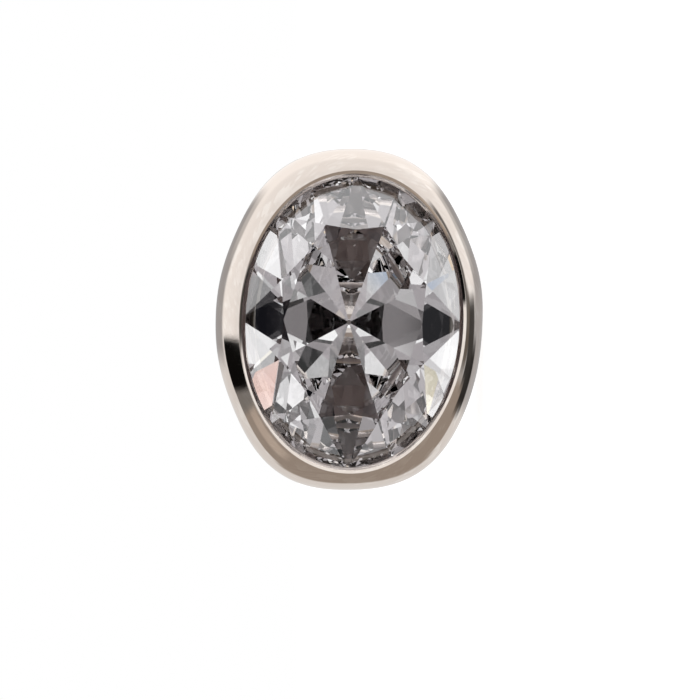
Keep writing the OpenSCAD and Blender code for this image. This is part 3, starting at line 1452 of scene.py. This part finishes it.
@dataclass
class Studio:
    """Pale floor, light tent and camera.

    Attributes:
        tent: Light tent.
        photo_scale: Millimetres on the jewel's face for each pixel of the picture.
        photo_size: Width of the picture in pixels.
        photo_axis: Pixel at which the picture shows the middle of the head.
        lens: Focal length in millimetres.
        sensor: Width of the camera's sensor in millimetres.
        raised: Angle of the camera above the level of the floor in degrees.
        clip: Nearest distance that the camera sees, as a share of its own, and the farthest in
            metres.
        floor_size: Width of the floor in metres.
        bounces: Most bounces of a ray in all, through the stone and off mirrors.
    """

    tent: LightTent
    photo_scale: float = 0.01343
    photo_size: int = 700
    photo_axis: tuple[float, float] = (350.3, 320.5)
    lens: float = 200.0
    sensor: float = 36.0
    raised: float = 1.0
    clip: tuple[float, float] = (0.2, 10.0)
    floor_size: float = 1.2
    bounces: tuple[int, int, int] = (24, 18, 12)

    def floor(self) -> None:
        """Lays a pale, plain light table under the jewel."""
        Workbench.clear_selection()
        bpy.ops.mesh.primitive_plane_add(size=self.floor_size, location=(0, 0, 0))
        floor = bpy.context.object
        floor.name = "pale_floor"
        floor.data.materials.append(PaleFloor().material())
        floor.visible_glossy = floor.visible_transmission = False

    def camera(self) -> None:
        """Sets the camera square to the face, with the picture's framing."""
        data = bpy.data.cameras.new("camera")
        camera = bpy.data.objects.new("camera", data)
        bpy.context.scene.collection.objects.link(camera)
        data.lens = self.lens
        data.sensor_width = self.sensor
        low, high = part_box("threaded_post")
        axis = (low + high) / 2
        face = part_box("bezel_cup")[0].y
        middle = self.photo_size / 2
        right = (middle - self.photo_axis[0]) * self.photo_scale * MM
        up = (self.photo_axis[1] - middle) * self.photo_scale * MM
        target = Vector((axis.x + up, face, axis.z - right))
        tilt = math.radians(self.raised)
        ahead = Vector((0, math.cos(tilt), -math.sin(tilt)))
        top = Vector((1, 0, 0))
        side = ahead.cross(top)
        distance = self.lens / self.sensor * self.photo_size * self.photo_scale * MM
        camera.matrix_world = Matrix.Translation(target - ahead * distance) @ Matrix(
            (side, top, -ahead)
        ).transposed().to_4x4()
        data.clip_start = distance * self.clip[0]
        data.clip_end = self.clip[1]
        bpy.context.scene.camera = camera

    def colours(self) -> None:
        """Sets plain colours and enough bounces for the cut stone."""
        scene = bpy.context.scene
        scene.view_settings.view_transform = "Standard"
        scene.view_settings.look = "None"
        cycles = scene.cycles
        cycles.max_bounces, cycles.transmission_bounces, cycles.glossy_bounces = self.bounces

    def build(self) -> None:
        """Builds the whole studio."""
        self.camera()
        self.floor()
        self.tent.build()
        self.colours()


# The whole jewel


def report(piece: BezelCup | OvalStone | ThreadedPost) -> None:
    """Logs what a finished piece holds.

    Args:
        piece: Piece that is modelled and dressed.
    """
    mesh = piece.object.data
    LOG.info("%s: %d points, %d faces", piece.object.name, len(mesh.vertices), len(mesh.polygons))


def metal_rig() -> LightRig:
    """Lays out the rig that the metal mirrors.

    Returns:
        The rig.
    """
    white: Colour = (1.0, 0.985, 0.97)
    grey: Colour = (1.0, 0.99, 1.0)
    brown: Colour = (1.0, 0.86, 0.74)
    black: Colour = (1.0, 0.95, 0.9)
    panels = (
        # The white sweep behind the jewel
        LightPanel(0, 180, 98, 180, white, 0.78, 3),
        LightPanel(0, 22, 96, 180, grey, 0.46, 4),
        LightPanel(262, 92, 108, 180, grey, 0.4, 6),
        LightPanel(328, 14, 100, 124, white, 0.62, 8),
        LightPanel(214, 9, 100, 128, white, 0.6, 8),
        # The large soft box over the top and the left
        LightPanel(264, 89, 0, 104, white, 1.02, 6),
        LightPanel(269, 50, 88, 166, white, 1.12, 7),
        LightPanel(264, 89, 0, 80, white, 0.97, 10),
        LightPanel(264, 89, 0, 40, white, 0.9, 10),
        # The room under it, behind the camera
        LightPanel(90, 74, 0, 98, brown, 0.34, 3),
        LightPanel(86, 42, 60, 108, brown, 0.34, 6),
        LightPanel(141, 12, 32, 66, brown, 0.5, 6),
        # Dark flags beside it
        LightPanel(159, 4, 0, 99, black, 0.21, 2),
        LightPanel(169, 8, 0, 101, black, 0.004, 1.5),
        LightPanel(15, 9, 78, 116, black, 0.03, 4),
        LightPanel(9, 8, 60, 96, black, 0.04, 4),
        LightPanel(2, 6, 40, 92, black, 0.06, 4),
        LightPanel(3, 10, 22, 56, brown, 0.14, 5),
        LightPanel(340, 20, 16, 46, black, 0.17, 5),
    )
    return LightRig((0.6, 0.6, 0.6), panels)


def stone_rig() -> LightRig:
    """Lays out the rig that is seen through the stone.

    Returns:
        The rig.
    """
    white: Colour = (1.0, 0.99, 0.985)
    dim: Colour = (1.0, 0.935, 0.95)
    amber: Colour = (1.0, 0.82, 0.64)
    pink: Colour = (1.0, 0.72, 0.64)
    yellow: Colour = (1.0, 0.93, 0.74)
    blue: Colour = (0.55, 0.72, 1.0)
    panels = (
        # The dim front of the tent
        LightPanel(0, 180, 0, 30, dim, 0.38, 4),
        LightPanel(0, 180, 0, 12, dim, 0.25, 1),
        # Soft boxes close to the camera
        LightPanel(218, 8, 18, 34, white, 1.0, 3),
        LightPanel(327, 11, 24, 33, white, 1.2, 2),
        LightPanel(299, 7, 24, 30, white, 0.6, 3),
        LightPanel(110, 12, 31, 43, white, 1.3, 3),
        LightPanel(80, 15, 31, 38, white, 1.0, 3),
        LightPanel(50, 10, 25, 34, white, 0.75, 3),
        LightPanel(290, 8, 36, 44, white, 1.4, 3),
        # Soft boxes halfway round
        LightPanel(260, 7, 45, 55, white, 0.62, 3),
        LightPanel(298, 15, 44, 53, white, 1.0, 3),
        LightPanel(62, 20, 43, 56, white, 0.75, 3),
        LightPanel(84, 6, 44, 54, white, 0.9, 3),
        LightPanel(150, 9, 45, 52, white, 1.2, 3),
        # Soft boxes beside the jewel
        LightPanel(225, 12, 60, 70, white, 0.85, 3),
        LightPanel(270, 24, 69, 92, white, 1.35, 3),
        LightPanel(104, 11, 69, 82, white, 1.1, 2),
        LightPanel(75, 12, 70, 92, white, 0.65, 3),
        # Colour flashes of the stone's fire
        LightPanel(47, 5, 48, 58, amber, 1.0, 2),
        LightPanel(260, 3, 72, 76, pink, 1.2, 2),
        LightPanel(284, 4, 74, 84, yellow, 1.15, 2),
        LightPanel(77, 1, 46, 54, blue, 0.7, 1),
        # Dark flags, and the camera's own front
        LightPanel(0, 8, 12, 34, white, 0.0, 2),
        LightPanel(182, 11, 12, 34, white, 0.0, 2),
        LightPanel(141, 9, 14, 25, white, 0.0, 3),
        LightPanel(142, 9, 24, 32, white, 0.36, 3),
        LightPanel(107, 8, 18, 26, white, 0.12, 2),
        LightPanel(258, 15, 15, 30, white, 0.05, 3),
        LightPanel(310, 5, 20, 24, white, 0.1, 2),
        LightPanel(222, 9, 38, 52, white, 0.06, 3),
        LightPanel(270, 14, 58, 68, white, 0.15, 3),
        LightPanel(180, 14, 45, 58, white, 0.25, 4),
        LightPanel(165, 18, 66, 78, white, 0.15, 4),
        LightPanel(0, 180, 0, 6, white, 0.02, 0.5),
        LightPanel(187, 70, 0, 7.8, white, 0.0, 0.8),
    )
    return LightRig((0.5, 0.465, 0.475), panels)


def facet_rig() -> LightRig:
    """Lays out the rig that the outer facets of the stone mirror.

    Returns:
        The rig.
    """
    white: Colour = (0.985, 0.985, 1.0)
    panels = (
        LightPanel(270, 62, 24, 100, white, 2.0, 12),
        LightPanel(90, 56, 20, 100, white, 1.1, 12),
        LightPanel(90, 10, 36, 58, white, 0.2, 4),
        LightPanel(0, 180, 0, 9, white, 0.0, 4),
    )
    return LightRig((0.045, 0.045, 0.06), panels)


def main() -> None:
    """Builds the jewel and the studio round it."""
    logging.basicConfig(level=logging.INFO, format="%(name)s: %(message)s", stream=sys.stdout)
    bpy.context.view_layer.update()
    waves = (Wave(3, 0.011, -39), Wave(5, 0.009, 22), Wave(6, 0.017, 2), Wave(8, 0.009, 22))
    middle = (0.033, -0.02)
    wall = Oval(3.6, 4.67, 2.12, -1.0, waves=waves)
    opening = Oval(2.88, 3.9, 2.06, -2.7, middle)
    girdle = Oval(3.0, 4.0, 2.0, -1.7, middle)
    effects = SurfaceEffects()
    cup = BezelCup(wall, opening, girdle)
    stone = OvalStone(girdle)
    post = ThreadedPost()
    for piece, finish in (
        (cup, PolishedTitanium()),
        (stone, CutZirconia()),
        (post, MachinedTitanium()),
    ):
        piece.build()
        piece.dress(finish, effects)
        report(piece)
    tent = LightTent(metal_rig(), stone_rig(), facet_rig())
    Studio(tent).build()
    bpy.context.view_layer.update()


if __name__ == "__main__":
    main()
